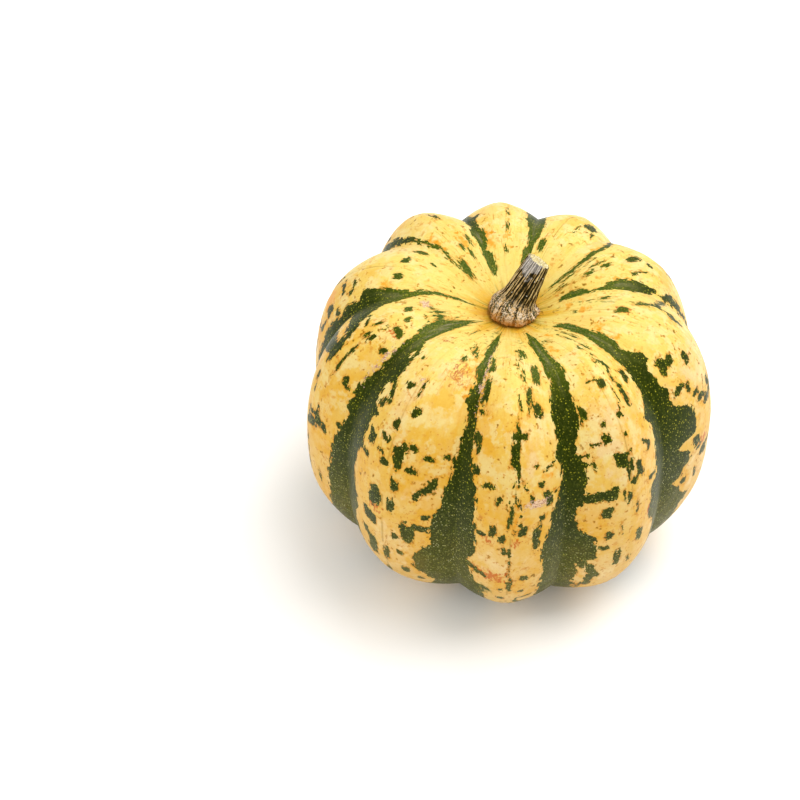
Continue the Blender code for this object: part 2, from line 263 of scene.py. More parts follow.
# Stains of each kind, as bearing, angle, width and length in degrees
STAINS = {
    "rust": (
        (-1.4, 100.8, 7, 4), (-6, 100, 7, 1.8), (-3.3, 85.5, 2, 2), (299.5, 40.5, 5, 3), (4, 86.5, 2, 2),
        (-36, 86, 4, 3), (45, 88, 4, 4), (73, 84, 4, 3), (81, 35.5, 3, 3),
    ),
    "orange": (
        (-18, 33, 3.4, 6), (-15, 42.5, 3, 4), (29.5, 27, 4, 3), (63, 36, 3, 3), (109, 35, 2.5, 5),
        (133, 37, 2.5, 5), (196.5, 28, 4, 6), (186, 28, 3, 4), (215, 30, 4, 4), (227, 35.5, 3, 4),
        (-94.5, 40.5, 3, 3), (258.5, 64, 6, 7), (13, 66, 3, 2), (50, 58, 3, 3), (40, 20, 4, 3),
        (4.6, 77.5, 1.6, 7), (83, 23, 6, 3), (92, 18.6, 7, 1.5), (97.5, 24.5, 3, 3), (66, 30.5, 3, 1.5),
    ),
    "amber": (
        (-19, 64, 11, 16), (-29.5, 64, 8, 12), (-5, 57, 9, 15), (-4, 76, 7, 8), (40, 86, 8, 18),
        (12, 94, 7, 12), (118, 62, 14, 18), (160, 70, 12, 20), (222, 60, 16, 14), (250, 74, 16, 18),
        (285, 60, 12, 20),
    ),
    "shell": (
        (-21, 76.5, 10, 10), (-34, 54, 9, 20), (8.5, 60, 8, 14), (34, 62, 12, 24), (-31, 98, 10, 14),
        (78, 62, 14, 14), (0, 95, 9, 10), (30, 104, 10, 12), (72, 94, 10, 16), (150, 60, 14, 16),
        (210, 66, 12, 18), (262, 84, 14, 16), (330, 40, 8, 8),
    ),
    "cork": (
        (9.5, 73.3, 6.4, 2.6), (-10.5, 35.5, 1.1, 10), (-11, 42, 2.6, 2.6), (-55.3, 49, 1.3, 10),
        (-78, 28, 9, 2.6), (-32.5, 46.3, 1.5, 1.4),
    ),
    "net": (
        (-21.5, 39, 13, 9), (-40, 30, 8, 5),
    ),
    "olive": (
        (-5, 109, 7, 5), (31, 21.5, 7, 1.8), (11.5, 15.5, 2.6, 5), (-21.5, 15.5, 2.6, 7),
        (50, 14.5, 5, 2.5), (81, 21, 6, 1.2), (89.5, 29, 1, 8),
    ),
}


def srgb(red, green, blue):
    """The surface colour that shows as this screen colour, in 0 to 255, in the studio's full light."""
    levels = (level / 255 for level in (red, green, blue))
    linear = (v / 12.92 if v <= 0.04045 else ((v + 0.055) / 1.055) ** 2.4 for v in levels)
    return tuple(v / 2**EXPOSURE for v in linear)


def length(name, default, description):
    """A size in metres."""
    return FloatProperty(name=name, description=description, default=default, min=0.0, unit="LENGTH")


def share(name, default, description, limit=1.0):
    """A plain number that has no unit."""
    return FloatProperty(name=name, description=description, default=default, min=0.0, max=limit)


def degrees(name, default, description):
    """An angle, stated here in degrees."""
    return FloatProperty(name=name, description=description, default=math.radians(default), subtype="ANGLE")


def colour(name, default, description):
    """A colour, stated here as it shows on a screen."""
    return FloatVectorProperty(
        name=name, description=description, default=srgb(*default), size=3, min=0.0, max=1.0, subtype="COLOR"
    )


def sign(operation, turned=False):
    """A method for one of Python's signs: it adds the math node, with its values turned round or not."""

    def method(self, other):
        first, second = (other, self) if turned else (self, other)
        return add(self.tree, "ShaderNodeMath", {"operation": operation}, {0: first, 1: second})

    return method


class Wire:
    """A value in a node tree. Sums and products of wires add the nodes that work them out."""

    __add__, __radd__ = sign("ADD"), sign("ADD", True)
    __sub__, __rsub__ = sign("SUBTRACT"), sign("SUBTRACT", True)
    __mul__, __rmul__ = sign("MULTIPLY"), sign("MULTIPLY", True)
    __truediv__, __rtruediv__ = sign("DIVIDE"), sign("DIVIDE", True)
    __pow__ = sign("POWER")

    def __init__(self, tree, socket):
        self.tree = tree
        self.socket = socket

    def __abs__(self):
        return self.math("ABSOLUTE")

    def math(self, operation, *values):
        """One math node that starts from this value."""
        inputs = dict(enumerate((self, *values)))
        return add(self.tree, "ShaderNodeMath", {"operation": operation}, inputs)

    def above(self, other):
        """1 where this value is over the other, else 0."""
        return self.math("GREATER_THAN", other)

    def smooth(self, low, high):
        """0 below low, 1 above high, and an even curve between."""
        inputs = {"Value": self, "From Min": low, "From Max": high}
        return add(self.tree, "ShaderNodeMapRange", {"interpolation_type": "SMOOTHSTEP"}, inputs)

    def ramp(self, low, high, start=0.0, end=1.0):
        """Goes evenly from start at low to end at high, and no further."""
        inputs = {"Value": self, "From Min": low, "From Max": high, "To Min": start, "To Max": end}
        return add(self.tree, "ShaderNodeMapRange", {}, inputs)


def put(tree, socket, value):
    """Wires a value to a node's input, or sets it there."""
    if isinstance(value, Wire):
        tree.links.new(value.socket, socket)
    elif socket.type == "RGBA":
        socket.default_value = (*value, 1.0)
    else:
        socket.default_value = value


def add(tree, kind, settings, inputs, out=0):
    """Adds a node, sets it up, and returns the wire from one of its outputs."""
    made = tree.nodes.new(kind)
    for name, value in settings.items():
        setattr(made, name, value)
    for name, value in inputs.items():
        put(tree, made.inputs[name], value)
    return Wire(tree, made.outputs[out])


def join(x, y, z):
    """A vector wire from its three parts."""
    tree = next(part.tree for part in (x, y, z) if isinstance(part, Wire))
    return add(tree, "ShaderNodeCombineXYZ", {}, {"X": x, "Y": y, "Z": z})


def on_ring(bearing, height):
    """A place on a ring of radius 1, for patterns that close all round."""
    return join(bearing.math("COSINE"), bearing.math("SINE"), height)


def part_of(vector, axis):
    """One part of a vector wire, by its axis."""
    return add(vector.tree, "ShaderNodeSeparateXYZ", {}, {"Vector": vector}, axis)


def scaled(vector, factors):
    """A vector wire, times one number for each axis."""
    inputs = {0: vector, 1: factors}
    return add(vector.tree, "ShaderNodeVectorMath", {"operation": "MULTIPLY"}, inputs)


def drawn(place, squeeze):
    """The same place, its way down squeezed to this share, so that patterns come out that much longer."""
    return scaled(place, (1.0, 1.0, squeeze))


def moved(vector, offset):
    """A vector wire, plus another vector."""
    return add(vector.tree, "ShaderNodeVectorMath", {"operation": "ADD"}, {0: vector, 1: offset})


def elsewhere(place, seed):
    """The same place in another part of the pattern, so that no two patterns are alike."""
    factors = (91.7, 53.3, 37.9)
    if isinstance(seed, Wire):
        return moved(place, join(*(seed * factor for factor in factors)))
    return moved(place, tuple(seed * factor for factor in factors))


def noise(place, size, seed, detail=2.0, roughness=0.5, out=0):
    """Soft noise from 0 to 1, with lumps of about this size, in the units of place."""
    inputs = {"Vector": elsewhere(place, seed), "Scale": 1 / size, "Detail": detail, "Roughness": roughness}
    return add(place.tree, "ShaderNodeTexNoise", {}, inputs, out)


def cells(place, size, seed):
    """A Voronoi pattern: the distance to the nearest point, and that point's random colour."""
    inputs = {"Vector": elsewhere(place, seed), "Scale": 1 / size}
    distance = add(place.tree, "ShaderNodeTexVoronoi", {}, inputs)
    return distance, Wire(place.tree, distance.socket.node.outputs["Color"])


def mix(factor, first, second):
    """Two colours mixed: all of the first at factor 0, all of the second at 1."""
    return add(factor.tree, "ShaderNodeMix", {"data_type": "RGBA"}, {0: factor, 6: first, 7: second}, 2)


def layered(skin, *layers):
    """A colour with others laid over it in turn, each given as how much of it shows and the colour."""
    for amount, tint in layers:
        skin = mix(amount, skin, tint)
    return skin


def colour_ramp(value, stops):
    """A colour that changes with a value, through stops of a value and a colour each."""
    low, high = stops[0][0], stops[-1][0]
    ramp = value.tree.nodes.new("ShaderNodeValToRGB")
    put(value.tree, ramp.inputs[0], value.ramp(low, high))
    elements = ramp.color_ramp.elements
    for at, _ in stops[1:-1]:
        elements.new((at - low) / (high - low))
    for element, (_, tint) in zip(elements, stops):
        element.color = (*tint, 1.0)
    return Wire(value.tree, ramp.outputs[0])


def new_material(name, finish):
    """A material with a Principled shader, set to this finish: its tree and the shader's inputs."""
    material = bpy.data.materials.new(name)
    material.use_nodes = True
    inputs = material.node_tree.nodes["Principled BSDF"].inputs
    for label, value in finish.items():
        put(material.node_tree, inputs[label], value)
    return material, material.node_tree, inputs


def in_millimetres(tree):
    """The place on the piece, in millimetres."""
    return scaled(add(tree, "ShaderNodeTexCoord", {}, {}, "Object"), (1 / MM, 1 / MM, 1 / MM))


def rough(tree, inputs, height, strength):
    """Raises the surface by this height in millimetres, in the shading only."""
    bump = {"Height": height, "Distance": 1.0 * MM, "Strength": strength}
    put(tree, inputs["Normal"], add(tree, "ShaderNodeBump", {}, bump))


def surface_value(tree, name, out=2):
    """One of the piece's own attributes, in a material: out 1 for a vector, 2 for a number."""
    return add(tree, "ShaderNodeAttribute", {"attribute_name": name}, {}, out)


def point_value(tree, name, kind="FLOAT"):
    """One of the piece's own attributes, in a geometry tree."""
    return add(tree, "GeometryNodeInputNamedAttribute", {"data_type": kind}, {"Name": name})


def sizes_of(settings, names, seed):
    """A tree's inputs: these sizes of a group of settings, by their labels, and the seed."""
    labels = settings.bl_rna.properties
    return {**{labels[name].name: getattr(settings, name) for name in names}, "Seed": seed}


def shape_tree(name, sizes):
    """A new geometry tree, and a wire from each of its named inputs."""
    tree = bpy.data.node_groups.new(name, "GeometryNodeTree")
    tree.interface.new_socket("Geometry", in_out="INPUT", socket_type="NodeSocketGeometry")
    tree.interface.new_socket("Geometry", in_out="OUTPUT", socket_type="NodeSocketGeometry")
    for label, value in sizes.items():
        socket = tree.interface.new_socket(label, in_out="INPUT", socket_type="NodeSocketFloat")
        socket.default_value = value
    source = tree.nodes.new("NodeGroupInput")
    return tree, {output.name: Wire(tree, output) for output in source.outputs if output.name}


def end_tree(tree, position, material, kept):
    """Moves the points, keeps the named values on them, sets the material, and ends the tree."""
    geometry = Wire(tree, tree.nodes["Group Input"].outputs["Geometry"])
    geometry = add(tree, "GeometryNodeSetPosition", {}, {"Geometry": geometry, "Position": position})
    for name, value in kept.items():
        inputs = {"Geometry": geometry, "Name": name, "Value": value}
        geometry = add(tree, "GeometryNodeStoreNamedAttribute", {"data_type": "FLOAT"}, inputs)
    geometry = add(tree, "GeometryNodeRealizeInstances", {}, {"Geometry": geometry})
    geometry = add(tree, "GeometryNodeSetMaterial", {}, {"Geometry": geometry, "Material": material})
    put(tree, tree.nodes.new("NodeGroupOutput").inputs[0], geometry)


def grow(name, mesh, tree, sizes):
    """A piece of plain mesh, shaped by a geometry tree at these sizes."""
    piece = bpy.data.objects.new(name, mesh)
    bpy.context.scene.collection.objects.link(piece)
    modifier = piece.modifiers.new(tree.name, "NODES")
    modifier.node_group = tree
    for item in tree.interface.items_tree:
        if item.in_out == "INPUT" and item.name in sizes:
            modifier[item.identifier] = sizes[item.name]
    graph = bpy.context.evaluated_depsgraph_get()
    piece.data = bpy.data.meshes.new_from_object(piece.evaluated_get(graph))
    piece.data.name = name
    piece.modifiers.clear()
    piece.data.shade_smooth()
    return piece


def keep_values(mesh, values):
    """Stores one number, or one vector, for each of the mesh's points."""
    for name, value in values.items():
        kind, field = ("FLOAT", "value") if value.ndim == 1 else ("FLOAT_VECTOR", "vector")
        mesh.attributes.new(name, kind, "POINT").data.foreach_set(field, np.float32(value).ravel())


def globe(columns, rows):
    """A closed globe's mesh, all its points still in one place, with the column and the row of each."""
    row, column = np.divmod(np.arange((rows - 1) * columns), columns)
    row = np.concatenate(((0,), row + 1, (rows,)))
    column = np.concatenate(((0,), column, (0,)))
    last = len(row) - 1
    first = np.arange(1, last, dtype=int).reshape(rows - 1, columns)
    after = np.roll(first, -1, axis=1)
    quads = np.stack((first[:-1], first[1:], after[1:], after[:-1]), axis=-1).reshape(-1, 4)
    top = [(0, here, beside) for here, beside in zip(first[0].tolist(), after[0].tolist())]
    bottom = [(last, beside, here) for here, beside in zip(first[-1].tolist(), after[-1].tolist())]
    mesh = bpy.data.meshes.new("globe")
    mesh.from_pydata(np.zeros((last + 1, 3)), (), top + quads.tolist() + bottom)
    return mesh, column, row


class RindSettings(bpy.types.PropertyGroup):
    """The fruit's sizes and colours."""

    valley_radius: length("Valley radius", 56.5 * MM, "Radius of the core, as it runs down the grooves")
    top_height: length("Top height", 50.0 * MM, "Height of the core over the widest ring")
    bottom_height: length("Bottom height", 44.5 * MM, "Depth of the core under the widest ring")
    top_squareness: share("Top squareness", 2.5, "How square the shoulder is; 2 is round", 9.0)
    bottom_squareness: share("Bottom squareness", 2.95, "How square the bottom is; 2 is round", 9.0)
    hollow_depth: length("Hollow depth", 15.0 * MM, "How far the top is sunk round the stem")
    hollow_radius: length("Hollow radius", 27.0 * MM, "How wide the sunk part of the top is")
    seat_radius: length("Seat radius", 7.2 * MM, "Radius of the level seat under the stem")
    rest_radius: length("Rest radius", 15.0 * MM, "Radius of the flat spot that the fruit rests on")
    scar_radius: length("Scar radius", 4.0 * MM, "Radius of the dried blossom scar underneath")
    scar_depth: length("Scar depth", 1.0 * MM, "How far the blossom scar is sunk")
    rib_roundness: share("Rib roundness", 1.4, "How round the ribs are across", 4.0)
    crest_softness: share("Crest softness", 0.14, "How soft the ribs' crests are")
    unevenness: length("Unevenness", 0.75 * MM, "How far the rind swells and dips")
    pucker: length("Pucker", 0.5 * MM, "Depth of the fine folds round the stem")
    crest_line: length("Crest line", 0.16 * MM, "Depth of the fine line down each rib")
    gold: colour("Gold", (226, 168, 36), "Rind close to the stem")
    lemon: colour("Lemon", (250, 229, 126), "Rind high on the shoulders")
    cream: colour("Cream", (253, 220, 112), "Rind on the upper sides")
    peach: colour("Peach", (248, 203, 96), "Rind on the lower sides")
    blush: colour("Blush", (242, 196, 106), "Rind towards the bottom")
    shell: colour("Shell", (254, 222, 156), "Pale pinkish clouds")
    amber: colour("Amber", (245, 182, 46), "Deep golden mottling")
    ochre: colour("Ochre", (208, 128, 20), "Rims of the green, and blots")
    rust: colour("Rust", (206, 92, 26), "Orange-brown stains and freckles")
    deep_green: colour("Deep green", (34, 49, 0), "The bands on the sides")
    olive: colour("Olive", (80, 92, 10), "The bands near the stem")
    grey_green: colour("Grey green", (80, 80, 18), "The bands towards the bottom")
    speck: colour("Speck", (192, 186, 50), "Fine specks in the green")
    cork: colour("Cork", (248, 210, 180), "Healed scars")


class StemSettings(bpy.types.PropertyGroup):
    """The stem's sizes and colours."""

    stem_length: length("Length", 17.8 * MM, "Length along the bending stem")
    aside: length("Aside", 0.7 * MM, "How far the foot stands right of the fruit's axis")
    lean_right: degrees("Lean right", 25.0, "How far the shaft leans to the right")
    lean_back: degrees("Lean back", 20.0, "How far the shaft leans to the back")
    cut_slope: degrees("Cut slope", 8.0, "How far the cut is off square")
    twist: degrees("Twist", 15.0, "How far the ridges turn on their way up")
    foot_radius: length("Foot radius", 5.5 * MM, "The shaft's radius at its foot")
    top_radius: length("Top radius", 3.4 * MM, "The shaft's radius at the cut")
    collar_swell: length("Collar swell", 2.1 * MM, "How far the collar stands out of the shaft")
    collar_tuck: length("Collar tuck", 0.4 * MM, "How far the collar draws in underneath")
    lobe_share: share("Lobes", 0.025, "Depth of the five lobes, as a share of the radius")
    ridge_share: share("Ridges", 0.055, "Depth of the ten ridges, as a share of the radius")
    fibre: length("Fibres", 0.34 * MM, "Height of the fine fibres on the shaft")
    straw: colour("Straw", (252, 226, 160), "Fibres standing out of the shaft")
    furrow: colour("Furrow", (26, 20, 2), "Between the fibres")
    umber: colour("Umber", (150, 122, 66), "The fibres' sides")
    tan: colour("Tan", (240, 196, 132), "The collar")
    moss: colour("Moss", (46, 60, 26), "Green specks and furrows on the collar")
    silver: colour("Silver", (234, 226, 218), "Peeled skin under the cut")
    pith: colour("Pith", (252, 241, 194), "The cut face")
    rim: colour("Rim", (206, 130, 36), "Where the collar meets the fruit")


class StageSettings(bpy.types.PropertyGroup):
    """The studio and the camera."""

    distance: length("Camera distance", 0.6054, "From the camera to the middle of the widest ring")
    elevation: degrees("Camera elevation", 44.209, "How steeply the camera looks down")
    roll: degrees("Camera roll", 3.069, "How far the camera is rolled")
    aside: degrees("Camera aside", 3.073, "How far the camera is turned left of the fruit")
    lens: share("Lens", 89.19, "Focal length in millimetres, on a sensor 36 wide", 500.0)
    floor: FloatVectorProperty(
        name="Floor", description="The floor", default=(0.93, 0.925, 0.91), size=3, subtype="COLOR"
    )
    world_strength: share("World", 0.62, "Strength of the light from all round", 5.0)
    key_power: share("Key light", 10.0, "Power of the big soft light above the right side, in watts", 500.0)
    fill_power: share("Fill light", 2.0, "Power of the soft light at the left, in watts", 500.0)


class Meridian:
    """How long a degree is on the rind, in millimetres, along the fruit and round it."""

    # how many angles it is measured at, and the share of the ribs' mean height that it stands out by
    STEPS = 721
    RIBS_STAND = 0.5

    def __init__(self, rind):
        self.angles = np.linspace(0.0, 180.0, self.STEPS)
        sine, cosine = np.sin(np.radians(self.angles)), np.cos(np.radians(self.angles))
        below = cosine < 0
        half_height = np.where(below, rind.bottom_height, rind.top_height)
        power = np.where(below, rind.bottom_squareness, rind.top_squareness)
        swell = rind.valley_radius + self.RIBS_STAND * RIB_HEIGHTS.mean() * np.clip(sine, 0, 1) ** 2
        reach = ((np.abs(sine) / swell) ** power + (np.abs(cosine) / half_height) ** power) ** (-1 / power)
        self.radius = reach * sine / MM
        steps = np.hypot(np.diff(self.radius), np.diff(reach * cosine / MM))
        self.way = np.concatenate(((0.0,), np.cumsum(steps)))

    def across(self, angle):
        """Millimetres in a degree of bearing at this angle."""
        return np.radians(1.0) * np.interp(angle, self.angles, self.radius)

    def down(self, angle):
        """Millimetres from the middle of the top down to this angle."""
        return np.interp(angle, self.angles, self.way)


class Markings:
    """The painted rind: for each point, how deep it is in each kind of mark, in millimetres."""

    # the seed, the depth far from any mark, and how far past a mark its depth is still worked out
    SEED = 20
    FAR = -9.0
    SPOT_REACH = 12.0

    # a spot's shape, and its smaller lobe: how far out it sits and how big it is, as shares of the spot
    SQUARENESS = 3
    LOBE_OUT, LOBE_SIZE = 0.34, 0.62

    # strokes narrower than this are drawn plain, and others as a row of spots, this many for each width
    THIN = 1.25
    SPOTS_FOR_WIDTH = 1.7

    # half the width of a band, in degrees, at angles that the picture doesn't show, and how it varies
    HIDDEN_WIDTHS = (
        (45, 2.5), (60, 4.0), (80, 6.0), (95, 8.5), (110, 10.5), (125, 12.0), (140, 12.5), (155, 11.0),
        (168, 9.0), (180, 8.0),
    )
    HIDDEN_FROM, HIDDEN_WAVER, LAST_ROW = 6.0, 0.22, 179.0

    # seeded marks: on a rib that the picture hides, how many, and the first and last angle of them and of
    # the dashes on its crest; on each rib's foot, the same; and the light rays round the blossom scar
    HIDDEN_MARKS, HIDDEN_DASHES = (30, 56, 118), (58, 118)
    FOOT_MARKS = (12, 112, 148)
    RAYS = 46

    # how ragged the green's edges are, in millimetres: of bands, by angle, and of spots
    BAND_EDGE = ((20, 60, 80), (0.3, 0.62, 0.7))
    SPOT_EDGE = 0.27

    def __init__(self, bearing, angle, meridian):
        self.bearing, self.angle, self.meridian = bearing, angle, meridian
        self.across = meridian.across(angle)
        self.down = meridian.down(angle)
        self.draw = np.random.default_rng(self.SEED)

    def turned(self, bearing):
        """Each point's bearing from this one, in degrees, the short way round."""
        return (self.bearing - bearing + TURN / 2) % TURN - TURN / 2

    def blank(self):
        """No marks anywhere."""
        return np.full(len(self.bearing), self.FAR)

    def hidden_rows(self, centre, start):
        """Rows of a band that no picture shows, wider towards the bottom and never straight."""
        rows = []
        for angle, half in self.HIDDEN_WIDTHS:
            for row in (angle, angle + 5.0):
                if start < row < self.LAST_ROW:
                    left, right = self.draw.uniform(-self.HIDDEN_WAVER, self.HIDDEN_WAVER, 2) * half
                    rows.append((row, centre - half + left, centre + half + right))
        return rows

    def band(self, centre, rows):
        """Depth in a band with these rows, which goes on to the bottom behind what can be seen."""
        hidden = self.hidden_rows(centre, rows[-1][0] + self.HIDDEN_FROM)
        table = np.array((*rows, *hidden), dtype=float)
        table[:, 1:] -= centre
        turned = self.turned(centre)
        left = np.interp(self.angle, table[:, 0], table[:, 1])
        right = np.interp(self.angle, table[:, 0], table[:, 2])
        inside = np.minimum(turned - left, right - turned) * self.across
        past_top = self.down - self.meridian.down(table[0, 0])
        return np.minimum(inside, past_top)

    def near(self, bearing, angle, far):
        """The points less than this many millimetres and degrees from a place, and their bearings from it."""
        turned = self.turned(bearing)
        found = np.nonzero((np.abs(self.angle - angle) < far) & (np.abs(turned) * self.across < far))[0]
        return found, turned[found]

    def stroke(self, depth, start, end, width):
        """Adds a stroke between two places to the depths, as wide as this many degrees of bearing."""
        middle = ((start[0] + end[0]) / 2, (start[1] + end[1]) / 2)
        far = self.SPOT_REACH + abs(end[0] - start[0]) + abs(end[1] - start[1])
        near, turned = self.near(*middle, far)
        unit = self.meridian.across(middle[1])
        x, y = turned * self.across[near], self.down[near]
        ends = [np.array(((b - middle[0]) * unit, self.meridian.down(a))) for b, a in (start, end)]
        along = ends[1] - ends[0]
        on = ((x - ends[0][0]) * along[0] + (y - ends[0][1]) * along[1]) / max(along @ along, 1e-6)
        on = np.clip(on, 0, 1)
        off_x, off_y = x - ends[0][0] - on * along[0], y - ends[0][1] - on * along[1]
        off = np.hypot(off_x, off_y)
        depth[near] = np.maximum(depth[near], width * unit / 2 - off)

    def blob(self, depth, bearing, angle, width, length):
        """Adds a spot with a smaller lobe that stands out of it on one side."""
        self.spot(depth, bearing, angle, width, length)
        side, end = self.draw.choice((-self.LOBE_OUT, self.LOBE_OUT), 2)
        place = (bearing + side * width, angle + end * length)
        self.spot(depth, *place, width * self.LOBE_SIZE, length * self.LOBE_SIZE)

    def spot(self, depth, bearing, angle, width, length):
        """Adds a squarish spot of this width and length in degrees to the depths."""
        wide, long = width * self.meridian.across(angle) / 2, length * self.meridian.across(90) / 2
        near, turned = self.near(bearing, angle, 2 * max(width, length) + self.SPOT_REACH)
        x = turned * self.across[near] / wide
        y = (self.down[near] - self.meridian.down(angle)) / long
        out = (np.abs(x) ** self.SQUARENESS + np.abs(y) ** self.SQUARENESS) ** (1 / self.SQUARENESS)
        depth[near] = np.maximum(depth[near], (1 - out) * min(wide, long))

    def chain(self, depth, start, end, width):
        """Adds a blocky streak between two places: a row of uneven spots that touch."""
        run = math.hypot(end[0] - start[0], end[1] - start[1])
        for on in np.linspace(0, 1, max(2, round(self.SPOTS_FOR_WIDTH * run / width))):
            bearing, angle = (a + (b - a) * on for a, b in zip(start, end))
            wide, long, aside, along = self.draw.uniform((0.8, 1.1, -0.2, -0.2), (1.3, 1.8, 0.2, 0.2)) * width
            self.spot(depth, bearing + aside, angle + along, wide, long)

    def scattered(self, depth, rib, count, first, last):
        """Adds this many marks to one rib between two angles: 3 in 10 are dashes, and some have a hook."""
        start, end = GROOVE_BEARINGS[rib], GROOVE_BEARINGS[rib + 1]
        for _ in range(count):
            across = self.draw.uniform(-0.8, 0.8)
            bearing = (start + end) / 2 + across * (end - start) / 2
            angle = self.draw.uniform(first, last)
            shape = self.draw.uniform()
            wide, long = self.draw.uniform(1.2, 3.6), self.draw.uniform(1.2, 3.4)
            if shape < 0.3:
                wide, long = self.draw.uniform(0.8, 2.0), self.draw.uniform(3.0, 8.0)
            self.blob(depth, bearing, angle, wide, long)
            if shape > 0.82:
                lean = self.draw.uniform(-4, 4)
                self.chain(depth, (bearing, angle), (bearing + lean, angle + self.draw.uniform(1, 4)), 1.6)

    def crest_dashes(self, depth, rib, first, last):
        """Adds a broken thin line down the crest of one rib."""
        crest = (GROOVE_BEARINGS[rib] + GROOVE_BEARINGS[rib + 1]) / 2
        angle = first
        while angle < last:
            run = self.draw.uniform(1.5, 7)
            bearing = crest + self.draw.uniform(-0.8, 0.8)
            end = (bearing, min(angle + run, last))
            self.stroke(depth, (bearing, angle), end, self.draw.uniform(0.6, 1.4))
            angle += run + self.draw.uniform(3, 12)

    def rays(self, depth):
        """Adds the light rays that run out from the blossom scar, as places to leave light."""
        for _ in range(self.RAYS):
            bearing, width = self.draw.uniform(0, TURN), self.draw.uniform(2.5, 8)
            inner, outer = self.draw.uniform(158, 171), self.draw.uniform(122, 150)
            self.stroke(depth, (bearing, outer), (bearing, inner), width)

    def green(self):
        """Depth in the green, and how ragged its edge is, both in millimetres."""
        bands = self.blank()
        for centre, rows in BANDS.items():
            bands = np.maximum(bands, self.band(centre, rows))
        holes = self.spots(HOLES)
        self.rays(holes)
        bands = np.minimum(bands, -holes)
        spots = self.blank()
        for spot in SPOTS:
            self.blob(spots, *spot)
        for start_bearing, start_angle, end_bearing, end_angle, width in STROKES:
            draw = self.stroke if width < self.THIN else self.chain
            draw(spots, (start_bearing, start_angle), (end_bearing, end_angle), width)
        for rib in HIDDEN_RIBS:
            self.scattered(spots, rib, *self.HIDDEN_MARKS)
            self.crest_dashes(spots, rib, *self.HIDDEN_DASHES)
        for rib in range(len(RIB_HEIGHTS)):
            self.scattered(spots, rib, *self.FOOT_MARKS)
        edge = np.where(bands > spots, np.interp(self.angle, *self.BAND_EDGE), self.SPOT_EDGE)
        return np.maximum(bands, spots), edge

    def spots(self, places):
        """Depth in plain spots at these places."""
        depth = self.blank()
        for place in places:
            self.spot(depth, *place)
        return depth


def rind_base(rind):
    """A globe with the ribs' bearings and the rind's markings on its points."""
    widths = np.diff(GROOVE_BEARINGS)
    counts = np.round(widths / COLUMN_DEGREES).astype(int)
    starts = np.concatenate(((0,), np.cumsum(counts)))
    mesh, column, row = globe(int(starts[-1]), RIND_RINGS)
    rib = np.searchsorted(starts, column, side="right") - 1
    step = (column - starts[rib]) / counts[rib]
    bearing = GROOVE_BEARINGS[rib] + widths[rib] * step
    down = row / RIND_RINGS
    angle = 180 * (down - POLE_CROWDING * np.sin(math.tau * down) / math.tau)
    marks = Markings(bearing, angle, Meridian(rind))
    green, ragged = marks.green()
    wander = np.interp(angle, *CREST_WANDER) * CREST_WANDERS[rib]
    round_it = np.radians(bearing)
    unrolled = np.stack((DRUM * np.cos(round_it), DRUM * np.sin(round_it), marks.down), axis=1)
    keep_values(mesh, {
        "bearing": bearing, "angle": angle, "across": 2 * step - 1, "crest": np.abs(2 * step - 1 - wander),
        "rib_height": RIB_HEIGHTS[rib], "unrolled": unrolled, "green": green, "ragged": ragged,
        **{kind: marks.spots(places) for kind, places in STAINS.items()},
    })
    return mesh


